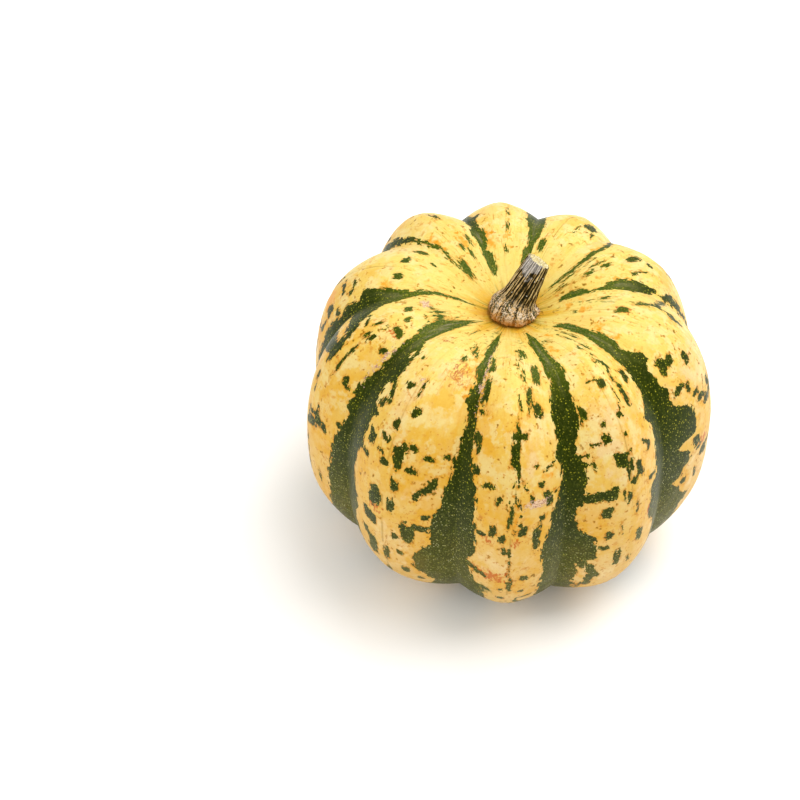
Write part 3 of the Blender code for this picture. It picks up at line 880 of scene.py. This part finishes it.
def rind_tree(sizes, material):
    """The rule of the rind's shape: a squarish core, ribs standing out of it, a hollow and a flat spot."""
    tree, given = shape_tree("squash_rind", sizes)
    angle, across = point_value(tree, "angle"), point_value(tree, "across")
    bearing = point_value(tree, "bearing").math("RADIANS")
    unrolled = point_value(tree, "unrolled", "FLOAT_VECTOR")
    downwards = angle.math("RADIANS")
    sine, cosine = downwards.math("SINE"), downwards.math("COSINE")

    # the core
    under = cosine.math("LESS_THAN", 0.0)
    half_height = given["Top height"] + (given["Bottom height"] - given["Top height"]) * under
    power = given["Top squareness"] + (given["Bottom squareness"] - given["Top squareness"]) * under
    out_across, out_along = abs(sine) / given["Valley radius"], abs(cosine) / half_height
    reach = (out_across**power + out_along**power) ** (-1 / power)
    slope_across = out_across ** (power - 1) / given["Valley radius"]
    slope_along = out_along ** (power - 1) / half_height * (1 - 2 * under)
    steepness = (slope_across * slope_across + slope_along * slope_along) ** 0.5
    slope_across, slope_along = slope_across / steepness, slope_along / steepness

    # the ribs, with a fine line down each crest, and the rind's own swells and dips
    softness = given["Crest softness"] * given["Crest softness"]
    softened = (across * across + softness) / (1 + softness)
    grown = angle.smooth(*RIBS_RISE) * (1 - angle.smooth(*RIBS_SINK))
    rise = point_value(tree, "rib_height") * (1 - softened ** (given["Rib roundness"] / 2)) * grown
    free = angle.smooth(*FREE_FROM) * (1 - angle.smooth(*FREE_TO))
    swell = noise(unrolled, 24.0, given["Seed"], 1.0) - 0.5
    dimple = noise(unrolled, 5.0, given["Seed"] + 1.0, 1.0) - 0.5
    line = 1 - point_value(tree, "crest").smooth(0.01, 0.05)
    fold = noise(drawn(unrolled, 0.12), 4.2, given["Seed"] + 2.0, 2.0) - 0.5
    near_stem = angle.smooth(7.0, 14.0) * (1 - angle.smooth(24.0, 52.0))
    relief = given["Unevenness"] * (swell + dimple * 0.28) * free - given["Crest line"] * line * free
    relief = relief + given["Pucker"] * fold * near_stem
    cork = point_value(tree, "cork").smooth(-0.3, 0.4)
    relief = relief + cork * (noise(unrolled, 0.9, given["Seed"] + 3.0) * 0.35 * MM) * free
    radius = reach * sine + slope_across * (rise + relief)
    height = reach * cosine + slope_along * (rise + relief)

    # the hollow with its level seat, the flat spot, and the blossom scar
    def hollow(at):
        ratio = at / given["Hollow radius"]
        return given["Hollow depth"] * (ratio * ratio * -1.0).math("EXPONENT")

    def core_height(at, half, squareness):
        return half * (1 - (at / given["Valley radius"]) ** squareness) ** (1 / squareness)

    seat = given["Seat radius"]
    seat_level = core_height(seat, given["Top height"], given["Top squareness"]) - hollow(seat)
    rest_level = core_height(given["Rest radius"], given["Bottom height"], given["Bottom squareness"]) * -1.0
    over = height.above(0.0)
    height = height - over * hollow(radius) * height.smooth(0.0, seat_level)
    seated = over * seat.above(radius)
    height = height + (seat_level - height) * seated
    height = height.math("MAXIMUM", rest_level)
    scarred = 1 - radius.smooth(given["Scar radius"], given["Scar radius"] + SCAR_RIM)
    height = height + given["Scar depth"] * scarred * angle.above(UNDERSIDE)
    x = radius * bearing.math("SINE") + AXIS.x
    y = AXIS.y - radius * bearing.math("COSINE")
    position = join(x, y, height - rest_level)
    end_tree(tree, position, material, {"off_axis": radius})
    return tree


def rind_material(rind):
    """Cream rind that warms towards the bottom, speckled green bands with stepped edges, stains and scars,
    with painted highlights on the shoulders, painted sheen in the upper bands and a painted shade ring round
    the stem.
    """
    finish = {"Specular IOR Level": 0.12, "Specular Tint": (1.0, 0.9, 0.3)}
    material, tree, inputs = new_material("rind", finish)
    place = in_millimetres(tree)
    unrolled, angle = surface_value(tree, "unrolled", 1), surface_value(tree, "angle")
    off_axis = surface_value(tree, "off_axis") * (1 / MM)

    def stained(kind, low, high, *ragged):
        """How much of one kind of stain shows, from none at depth low to all at depth high."""
        return sum(ragged, surface_value(tree, kind)).smooth(low, high)

    # the stepped edge: each small cell, long down the rib, keeps its own share of the edge
    wobble = scaled(moved(noise(place, 0.9, 1.0, 2.0, out=1), (-0.5, -0.5, -0.5)), (0.5, 0.5, 0.5))
    _, own = cells(moved(scaled(unrolled, (1 / 0.9, 1 / 0.9, 1 / 1.6)), wobble), 1.0, 1.0)
    _, finer = cells(moved(drawn(unrolled, 0.7), wobble), 0.5, 2.0)
    chance, second, third = (part_of(own, axis) for axis in range(3))
    steps = (chance - 0.5) * 2.0 * surface_value(tree, "ragged") + (part_of(finer, 0) - 0.5) * 0.3
    fray = noise(drawn(unrolled, 0.12), 2.2, 26.0, 3.0, 0.6).smooth(0.38, 0.62)
    edge = surface_value(tree, "green") + steps - fray * (1 - angle.smooth(11.0, 19.0)) * 3.2
    inside = edge.smooth(-0.06, 0.07)

    # what the light rind carries: golden and pinkish clouds, pale painted highlights on the shoulders,
    # streaks, blots, dashes and freckles
    cloud = noise(unrolled, 13.0, 2.0, 3.0)
    patch = noise(drawn(unrolled, 0.6), 11.0, 4.0, 4.0, 0.58)
    low = angle.smooth(36.0, 60.0)
    lumps = (noise(drawn(unrolled, 0.7), 4.0, 20.0, 3.0, 0.6) - 0.5) * 14.0
    warm = part_of(place, 0).ramp(-10.0, 40.0, 1.0, 0.0) * low * (1 - angle.smooth(84.0, 100.0))
    pink = noise(place, 6.0, 14.0, 4.0, 0.6).smooth(0.46, 0.6)
    rosy = stained("shell", -1.0, 1.6, lumps)
    pale = ((1 - warm) * low * 0.3 + 0.25 + rosy * 0.35) * (pink * 0.7 + rosy * 0.5)
    # painted highlight: pale patches on the upper shoulders, which face the lamps
    painted_highlight = noise(place, 4.5, 23.0, 3.0, 0.6).smooth(0.48, 0.6) * angle.smooth(22.0, 34.0)
    painted_highlight = painted_highlight * (1 - angle.smooth(58.0, 90.0) * 0.7)
    streak = noise(drawn(unrolled, 0.16), 1.5, 3.0, 3.0).smooth(0.52, 0.74)
    blot = noise(drawn(place, 0.8), 1.5, 5.0, 2.0, 0.5)
    blotted = (blot - 0.5) * 6.0
    crowd = noise(place, 9.0, 6.0, 1.0)
    burnt = noise(place, 1.7, 17.0, 2.0, 0.5).smooth(0.6, 0.68)
    burnt = burnt * noise(place, 7.0, 18.0, 1.0).smooth(0.4, 0.6)
    dash = noise(drawn(unrolled, 0.2), 0.9, 28.0, 3.0, 0.55).smooth(0.6, 0.68)
    dash = dash * crowd.smooth(0.4, 0.56) * angle.smooth(9.0, 16.0) * (1 - angle.smooth(34.0, 56.0))
    freckle, freckle_own = cells(moved(place, wobble), 1.0, 3.0)
    many = noise(place, 8.0, 7.0, 2.0).smooth(0.36, 0.6) * angle.ramp(25.0, 62.0, 0.3, 1.0)
    freckles = (1 - freckle.smooth(0.1, 0.3)) * part_of(freckle_own, 0).smooth(0.45, 0.8) * many
    mottle = noise(place, 0.8, 19.0, 3.0, 0.6).ramp(0.3, 0.7)

    # the thin rim outside the green, in places, and the line down each crest; then the light rind, by
    # angle, with all of these laid over it, and the stains
    rim = edge.smooth(-0.5, -0.05) * (third * 0.55 + patch).smooth(0.55, 0.9)
    chap = noise(drawn(place, 0.45), 0.7, 24.0, 3.0, 0.6)
    crest = (1 - surface_value(tree, "crest").smooth(0.008, 0.026)) * angle.smooth(16.0, 24.0)
    light = layered(
        colour_ramp(angle + (cloud - 0.5) * 26.0, (
            (3.0, rind.gold), (8.5, srgb(240, 192, 62)), (16.0, rind.lemon), (36.0, rind.lemon),
            (52.0, rind.cream), (74.0, rind.peach), (112.0, rind.blush), (150.0, rind.cream),
        )),
        (patch.smooth(0.48, 0.6) * (low * 0.34 + 0.28), rind.amber),
        (stained("amber", -1.0, 1.6, lumps) * 0.5, rind.amber),
        (warm * 0.2, rind.amber),
        (pale, rind.shell),
        # the painted highlight on the shoulders
        (painted_highlight * 0.55, srgb(255, 240, 168)),
        (streak * 0.28, rind.amber),
        (blot.smooth(0.6, 0.68) * crowd.smooth(0.36, 0.56) * 0.7, rind.ochre),
        (blot.smooth(0.67, 0.72) * crowd.smooth(0.4, 0.58) * 0.75, rind.olive),
        (burnt * 0.55, srgb(226, 150, 58)),
        (dash * 0.8, rind.ochre),
        (freckles * 0.75, rind.rust),
        (mottle * 0.16, rind.ochre),
        (rim * 0.65, rind.ochre),
        (stained("orange", -0.7, 0.9, blotted) * 0.8, srgb(247, 164, 36)),
        (stained("rust", -0.4, 1.2, blotted, (chap - 0.5) * 8.0) * 0.8, rind.rust),
        (stained("olive", -0.4, 1.2, (blot - 0.5) * 7.0) * 0.5, rind.olive),
        (crest * noise(unrolled, 5.0, 22.0).smooth(0.42, 0.52) * 0.45, srgb(172, 128, 44)),
    )

    # green: by angle, clouded, with fine specks, frayed near the stem, and painted grey sheen inside the
    # bands near the stem
    speck, speck_own = cells(place, 0.72, 5.0)
    specks = (1 - speck.smooth(0.12, 0.38)) * part_of(speck_own, 0).above(0.25)
    pale_speck = mix(angle.smooth(66.0, 88.0) * part_of(speck_own, 2), rind.speck, srgb(206, 204, 156))
    high = 1 - angle.smooth(24.0, 48.0)
    # painted sheen: grey streaks inside the green bands near the stem
    painted_sheen = noise(drawn(unrolled, 0.2), 1.4, 30.0, 3.0, 0.6).smooth(0.4, 0.6)
    frost = noise(place, 0.5, 8.0, 2.0, 0.6).smooth(0.5, 0.7) * (angle.ramp(70.0, 100.0, 0.25) + high * 0.7)
    green = layered(
        colour_ramp(angle + (cloud - 0.5) * 18.0, (
            (10.0, rind.olive), (34.0, rind.olive), (46.0, rind.deep_green), (76.0, rind.deep_green),
            (88.0, srgb(52, 60, 20)), (106.0, rind.grey_green), (150.0, rind.deep_green),
        )),
        (second.smooth(0.4, 1.0) * 0.22, rind.olive),
        ((1 - edge.smooth(0.0, 0.6)) * 0.35, rind.olive),
        (patch.smooth(0.5, 0.7) * angle.smooth(90.0, 106.0) * 0.4, srgb(118, 98, 36)),
        (specks * part_of(speck_own, 1).ramp(0.0, 1.0, 0.2), pale_speck),
        (noise(place, 1.0, 27.0, 3.0, 0.6).smooth(0.44, 0.6) * high * 0.75, srgb(58, 78, 10)),
        ((1 - edge.smooth(0.3, 1.3)) * high * 0.6, srgb(56, 88, 20)),
        # painted grey sheen in the bands near the stem
        (edge.smooth(0.8, 2.0) * painted_sheen * high * 0.8, srgb(142, 134, 102)),
        (frost * 0.3, srgb(188, 188, 96)),
    )

    # both together, with the healed scars, the blossom scar, and the rays round the stem, and a dark ring
    # round the stem's foot that is painted shade
    cork = stained("cork", -0.1, 0.5, (noise(place, 0.9, 15.0, 3.0, 0.6) - 0.5) * 4.5)
    vein = 1 - abs(noise(drawn(unrolled, 0.7), 2.6, 9.0, 3.0, 0.6) - 0.5).smooth(0.0, 0.05)
    net = stained("net", -0.5, 2.0, blotted)
    crack = 1 - abs(noise(drawn(unrolled, 1.4), 1.2, 29.0, 2.0, 0.5) - 0.5).smooth(0.02, 0.07)
    scar = (1 - (off_axis + (blot - 0.5) * 3.0).smooth(3.8, 4.6)) * angle.above(UNDERSIDE)
    rings = (off_axis * 3.6 + (chap - 0.5) * 5.0).math("SINE").smooth(-0.4, 0.8)
    ray = noise(drawn(unrolled, 0.1), 7.0, 21.0, 3.0, 0.6)
    on_top = 1 - angle.above(TOP_ENDS)
    near_stem = (1 - off_axis.smooth(7.0, 14.0)) * on_top
    # painted shade: a dark ring on the rind where the stem's collar sits
    seat = (1 - off_axis.smooth(6.7, 7.4)) * on_top
    put(tree, inputs["Base Color"], layered(
        mix(inside, light, green),
        (cork * 0.82, rind.cork),
        (net * vein * 0.85, srgb(196, 106, 70)),
        (net * noise(place, 1.6, 25.0, 3.0, 0.6).smooth(0.5, 0.66) * 0.6, srgb(222, 128, 44)),
        (cork * crack * 0.7, srgb(158, 92, 66)),
        (scar, mix(rings, srgb(84, 54, 30), srgb(158, 116, 74))),
        (near_stem * ray.smooth(0.5, 0.62) * 0.6, srgb(128, 118, 30)),
        (near_stem * (1 - ray.smooth(0.36, 0.48)) * 0.6, srgb(228, 156, 44)),
        # painted shade round the stem's foot
        (seat * 0.6, srgb(140, 84, 26)),
    ))

    # gloss: waxy, duller on scars
    dull = (cork + net * vein + scar).math("MINIMUM", 1.0)
    put(tree, inputs["Roughness"], noise(place, 3.0, 10.0, 3.0).ramp(0.3, 0.7, 0.36, 0.48) + dull * 0.25)
    pores = noise(place, 0.45, 11.0, 2.0) * 0.02 + freckles * 0.02 + inside * 0.012
    grain = noise(drawn(unrolled, 0.25), 0.9, 12.0, 3.0) * 0.045
    crust = (cork + net * vein * 0.5) * noise(place, 0.5, 13.0, 3.0) * 0.22
    rough(tree, inputs, pores + grain + scar * rings * 0.3 + crust, 0.7)
    return material


def stem_base(stem, seat_height):
    """A closed tube, its ends drawn to a point, with the place along the stem on each of its points."""
    rows = FOOT_ROWS + SHAFT_ROWS + CUT_ROWS
    mesh, column, row = globe(STEM_SIDES, rows)
    up = rows - row
    spread = np.clip(up / FOOT_ROWS, 0, 1) * np.clip((rows - up) / CUT_ROWS, 0, 1)
    shaft = np.clip((up - FOOT_ROWS) / SHAFT_ROWS, 0, 1) ** SHAFT_CROWDING
    centres, lean = stem_centres(stem)
    shares = np.linspace(0, 1, len(lean))
    centre = np.stack([np.interp(shaft, shares, centres[:, axis]) for axis in range(3)], axis=1)
    centre += np.array((AXIS.x + stem.aside, AXIS.y, seat_height))
    keep_values(mesh, {
        "share": shaft, "spread": spread, "round": column * TURN / STEM_SIDES, "centre": centre,
        "lean": np.interp(shaft, shares, lean),
    })
    return mesh


def stem_centres(stem, steps=160):
    """The middle of the bending stem at even shares of its length, and how much of its lean is reached."""
    shares = np.linspace(0, 1, steps + 1)
    reached = np.clip(shares / LEANS_BY, 0, 1)
    lean = reached * reached * (3 - 2 * reached)
    centre, centres = Vector(), [Vector()]
    for before, after in zip(lean, lean[1:]):
        middle = (before + after) / 2
        right = Matrix.Rotation(stem.lean_right * middle, 3, "Y")
        back = Matrix.Rotation(-stem.lean_back * middle, 3, "X")
        centre = centre + back @ right @ Vector((0, 0, stem.stem_length / steps))
        centres.append(centre)
    return np.array([tuple(point) for point in centres]), lean


def stem_tree(sizes, material):
    """The rule of the stem's shape: a tapering shaft with fibres, on a lobed collar that tucks in."""
    tree, given = shape_tree("squash_stem", sizes)
    along, spread = point_value(tree, "share"), point_value(tree, "spread")
    bearing = point_value(tree, "round").math("RADIANS")
    seed = given["Seed"]
    shaft = given["Foot radius"] + (given["Top radius"] - given["Foot radius"]) * along
    from_collar = (along - COLLAR_MIDDLE) / COLLAR_SPREAD
    collar = given["Collar swell"] * (from_collar * from_collar * -1.0).math("EXPONENT")
    tuck = (1 - along / COLLAR_TUCKS_TO).math("MAXIMUM", 0.0)
    mean = shaft + collar - given["Collar tuck"] * tuck * tuck

    # ten ridges on five lobes, and uneven fibres that run up the shaft
    ridge = COLLAR_RIDGES + (given["Ridges"] - COLLAR_RIDGES) * along.smooth(0.0, RIDGED_FROM)
    relief = given["Lobes"] * (bearing * LOBES).math("COSINE") + ridge * (bearing * RIDGES).math("COSINE")
    ring = on_ring(bearing, along * 0.32)
    wander = (noise(ring, 0.6, seed, 2.0) - 0.5) * 0.55
    wave = ((bearing + wander) * FIBRES).math("COSINE") * 0.5 + 0.5
    strength = noise(ring, 0.22, seed + 1.0, 2.0).ramp(0.3, 0.7, 0.35, 1.0)
    fibre = wave**0.8 * strength
    furrow = 1 - abs(noise(ring, 0.16, seed + 2.0, 3.0) - 0.5).smooth(0.0, 0.07)
    fine = (fibre - 0.45 - furrow * 0.35) * along.smooth(0.1, 0.36).math("MAXIMUM", 0.35)
    knots = (noise(on_ring(bearing, along * 3.0), 0.2, seed + 3.0, 3.0) - 0.5) * 0.45 * MM
    radius = (mean * (1 + relief) + given["Fibres"] * fine + knots) * spread
    radius = radius.math("MAXIMUM", 0.0)

    # the slanting cut: broken fibres at its edge, and a sunken middle
    twisted = bearing + given["Twist"] * along
    x, y = radius * twisted.math("COSINE"), radius * twisted.math("SINE")
    slope = given["Cut slope"].math("TANGENT") * along.smooth(RIDGED_FROM, 1.0)
    cut = along.above(CUT_AT)
    crumbs = noise(join(x, y, 0.0), 0.9 * MM, seed + 4.0, 3.0) - 0.5
    sunk = (1 - spread.smooth(0.15, 0.85)) * 0.5 * MM + spread.smooth(0.9, 1.0) * 0.22 * MM
    lifted = x * slope * -1.0 + cut * (crumbs * 1.5 * MM - sunk)
    section = join(x, y, lifted)
    lean = point_value(tree, "lean")
    for axis, turn in (("Y_AXIS", given["Lean right"] * lean), ("X_AXIS", given["Lean back"] * lean * -1.0)):
        inputs = {"Vector": section, "Angle": turn}
        section = add(tree, "ShaderNodeVectorRotate", {"rotation_type": axis}, inputs)
    position = moved(section, point_value(tree, "centre", "FLOAT_VECTOR"))
    end_tree(tree, position, material, {"fine": fine})
    return tree


def stem_material(stem):
    """Straw fibres over dark furrows, a speckled tan collar, peeled silver near the pale cut, with painted
    light and shade on the shaft and a painted shade line at the collar's foot.
    """
    finish = {"Roughness": 0.7, "Specular IOR Level": 0.14, "Specular Tint": (1.0, 0.85, 0.5)}
    material, tree, inputs = new_material("stem", finish)
    place = in_millimetres(tree)
    along, fine = surface_value(tree, "share"), surface_value(tree, "fine")
    spread = surface_value(tree, "spread")
    mottle = noise(place, 1.1, 1.0, 3.0, 0.6)
    uneven = mottle - 0.5
    grit = noise(place, 0.35, 2.0, 2.0)

    # the shaft: dark furrows, brown sides, thin straw crests, and a silvery film under the cut; the tones
    # follow the fibres' relief, partly the stem's own stripes and partly painted shade in the furrows and
    # painted highlights on the crests; the upper right side is painted darker as shade, and the front left is
    # painted lighter as light
    round_it = surface_value(tree, "round").math("RADIANS")
    relief = fine + uneven * 0.6
    # painted shade: the upper right side of the shaft is darkened
    right = round_it.math("COSINE").smooth(0.0, 0.8) * along.smooth(0.4, 0.8)
    # the raised fibres, which take the lighter tones: partly their own colour, partly painted light
    lit = relief.smooth(-0.3, -0.02)
    front_left = (round_it - math.radians(218.0)).math("COSINE")
    # painted light: the front left side of the shaft is lightened
    painted_light_left = front_left.smooth(0.1, 0.9) * relief.smooth(-0.16, 0.02) * mottle.smooth(0.36, 0.56)
    film = front_left * 0.55 + along * 1.3 + (noise(place, 2.4, 3.0, 3.0, 0.6) - 0.5) * 1.1
    shaft = layered(
        mix(lit * (1 - right * 0.45), stem.furrow, stem.umber),
        (relief.smooth(-0.04, 0.18) * (1 - right * 0.72), stem.straw),
        (grit.smooth(0.55, 0.7) * 0.3, stem.moss),
        (painted_light_left * (1 - right) * 0.5, srgb(222, 180, 128)),
        (film.smooth(1.42, 1.6) * (lit * 0.55 + 0.38), stem.silver),
    )

    # the collar: cream and tan, mossy specks and creases, orange where it meets the fruit, and a dark painted
    # shade line at its very foot
    specks = noise(place, 0.5, 4.0, 3.0, 0.7).smooth(0.52, 0.58)
    creases = (round_it * RIDGES + uneven * 2.4).math("COSINE").smooth(-0.72, -0.94)
    furrows = (1 - (fine + uneven * 0.3).smooth(-0.26, -0.1)).math("MAXIMUM", creases)
    level = along + uneven * 0.1
    trail = noise(on_ring(round_it, along * 0.5), 0.16, 6.0, 2.0).smooth(0.53, 0.6)
    trail = trail * specks.math("MAXIMUM", grit.smooth(0.42, 0.5))
    collar = layered(
        mix(mottle.smooth(0.4, 0.6) * 0.8, stem.tan, srgb(255, 236, 212)),
        (specks * 0.9, stem.moss),
        (furrows * grit.smooth(0.36, 0.5), stem.furrow),
        ((1 - level.smooth(0.02, 0.15)) * 0.75, stem.rim),
        (mottle.smooth(0.5, 0.66) * (1 - level.smooth(0.06, 0.16)) * 0.5, srgb(232, 184, 104)),
        # painted shade at the collar's foot, where it meets the fruit
        ((1 - level.smooth(-0.02, 0.03)) * 0.6, srgb(138, 64, 14)),
        (trail * 0.85, stem.moss),
    )

    # the cut, and white grains all over, partly chalky grains and partly painted glints
    pith = layered(
        mix(mottle.smooth(0.42, 0.62) * 0.5, stem.pith, srgb(236, 206, 116)),
        (grit.smooth(0.5, 0.64) * 0.75, srgb(150, 122, 62)),
        ((1 - spread.smooth(0.1, 0.3)) * 0.3, srgb(170, 140, 84)),
    )
    # white dots: partly chalky grains, partly painted glints
    chalk_and_glints, chalk_own = cells(place, 1.1, 5.0)
    put(tree, inputs["Base Color"], layered(
        mix((along + uneven * 0.16).smooth(0.17, 0.36), collar, shaft),
        (along.above(CUT_AT) * (1 - spread.smooth(0.93, 0.99)), pith),
        ((1 - chalk_and_glints.smooth(0.1, 0.22)) * part_of(chalk_own, 0).above(0.7), srgb(250, 240, 214)),
    ))
    rough(tree, inputs, grit * 0.12 + mottle * 0.2 + specks * 0.05, 0.8)
    return material


class SQUASH_OT_fruit(bpy.types.Operator):
    """Grow the ribbed fruit with its markings."""

    bl_idname = "squash.fruit"
    bl_label = "Fruit"

    def execute(self, context):
        rind = context.scene.squash_rind
        sizes = sizes_of(rind, RIND_SIZES, RIND_SEED)
        fruit = grow("squash_fruit", rind_base(rind), rind_tree(sizes, rind_material(rind)), sizes)
        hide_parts("fruit")
        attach(fruit, "root")
        return {"FINISHED"}


class SQUASH_OT_stem(bpy.types.Operator):
    """Grow the stem on the fruit's seat."""

    bl_idname = "squash.stem"
    bl_label = "Stem"

    def execute(self, context):
        stem = context.scene.squash_stem
        sizes = sizes_of(stem, STEM_SIZES, STEM_SEED)
        lowest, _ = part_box("stem")
        shaft = grow("squash_stem", stem_base(stem, lowest.z), stem_tree(sizes, stem_material(stem)), sizes)
        shaft.data.set_sharp_from_angle(angle=math.radians(SHARP_FROM))
        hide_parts("stem")
        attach(shaft, "root")
        return {"FINISHED"}


def soft_light(name, place, target, size, power):
    """A square soft light that faces a place."""
    light = bpy.data.objects.new(name, bpy.data.lights.new(name, "AREA"))
    light.data.size = size
    light.data.energy = power
    light.location = place
    light.rotation_euler = (Vector(target) - Vector(place)).to_track_quat("-Z", "Y").to_euler()
    bpy.context.scene.collection.objects.link(light)


def floor_material(stage):
    """Matt pale board with the faintest grain."""
    material, tree, inputs = new_material("floor", {"Roughness": 0.9, "Specular IOR Level": 0.1})
    grain = noise(add(tree, "ShaderNodeTexCoord", {}, {}, "Object"), 0.05, 1.0, 3.0)
    darker = tuple(0.97 * level for level in stage.floor)
    put(tree, inputs["Base Color"], mix(grain * 0.4, stage.floor, darker))
    return material


class SQUASH_OT_stage(bpy.types.Operator):
    """Lay the floor and set the lights and the camera."""

    bl_idname = "squash.stage"
    bl_label = "Stage"

    def execute(self, context):
        scene = context.scene
        stage = scene.squash_stage
        board = bmesh.new()
        bmesh.ops.create_grid(board, x_segments=8, y_segments=8, size=FLOOR_REACH)
        floor = bpy.data.objects.new("floor", bpy.data.meshes.new("floor"))
        board.to_mesh(floor.data)
        board.free()
        floor.data.materials.append(floor_material(stage))
        scene.collection.objects.link(floor)

        world = bpy.data.worlds.new("studio")
        world.use_nodes = True
        background = world.node_tree.nodes["Background"]
        background.inputs["Color"].default_value = (*WORLD_TINT, 1.0)
        background.inputs["Strength"].default_value = stage.world_strength
        scene.world = world
        middle = widest_ring(scene.squash_rind)
        soft_light("key", KEY_PLACE, middle, KEY_WIDTH, stage.key_power)
        soft_light("fill", FILL_PLACE, middle, FILL_WIDTH, stage.fill_power)

        camera = bpy.data.objects.new("camera", bpy.data.cameras.new("camera"))
        camera.data.lens = stage.lens
        camera.data.clip_start = NEAREST_SEEN
        away = Vector((0, -math.cos(stage.elevation), math.sin(stage.elevation)))
        camera.location = middle + away * stage.distance
        look = (-away).to_track_quat("-Z", "Y").to_matrix()
        turned = look @ Matrix.Rotation(stage.roll, 3, "Z") @ Matrix.Rotation(stage.aside, 3, "Y")
        camera.rotation_euler = turned.to_euler()
        scene.collection.objects.link(camera)
        scene.camera = camera
        scene.view_settings.view_transform = "Standard"
        scene.view_settings.exposure = EXPOSURE
        return {"FINISHED"}


def widest_ring(rind):
    """The middle of the fruit's widest ring, over the flat spot that it rests on."""
    narrowed = (rind.rest_radius / rind.valley_radius) ** rind.bottom_squareness
    return AXIS + Vector((0, 0, rind.bottom_height * (1 - narrowed) ** (1 / rind.bottom_squareness)))


class SQUASH_PT_panel(bpy.types.Panel):
    """The squash's sizes and colours, with a button for each piece."""

    bl_idname = "SQUASH_PT_panel"
    bl_label = "Squash"
    bl_space_type = "VIEW_3D"
    bl_region_type = "UI"
    bl_category = "Squash"

    def draw(self, context):
        scene = context.scene
        groups = (
            ("squash.fruit", scene.squash_rind), ("squash.stem", scene.squash_stem),
            ("squash.stage", scene.squash_stage),
        )
        for operator, settings in groups:
            box = self.layout.box()
            box.operator(operator)
            for name in settings.__annotations__:
                box.prop(settings, name)


CLASSES = (
    RindSettings, StemSettings, StageSettings,
    SQUASH_OT_fruit, SQUASH_OT_stem, SQUASH_OT_stage, SQUASH_PT_panel,
)


def register():
    for made in CLASSES:
        bpy.utils.register_class(made)
    bpy.types.Scene.squash_rind = PointerProperty(type=RindSettings)
    bpy.types.Scene.squash_stem = PointerProperty(type=StemSettings)
    bpy.types.Scene.squash_stage = PointerProperty(type=StageSettings)


def unregister():
    del bpy.types.Scene.squash_rind
    del bpy.types.Scene.squash_stem
    del bpy.types.Scene.squash_stage
    for made in reversed(CLASSES):
        bpy.utils.unregister_class(made)


def main():
    """Builds the whole scene."""
    register()
    bpy.ops.squash.fruit()
    bpy.ops.squash.stem()
    bpy.ops.squash.stage()


if __name__ == "__main__":
    main()
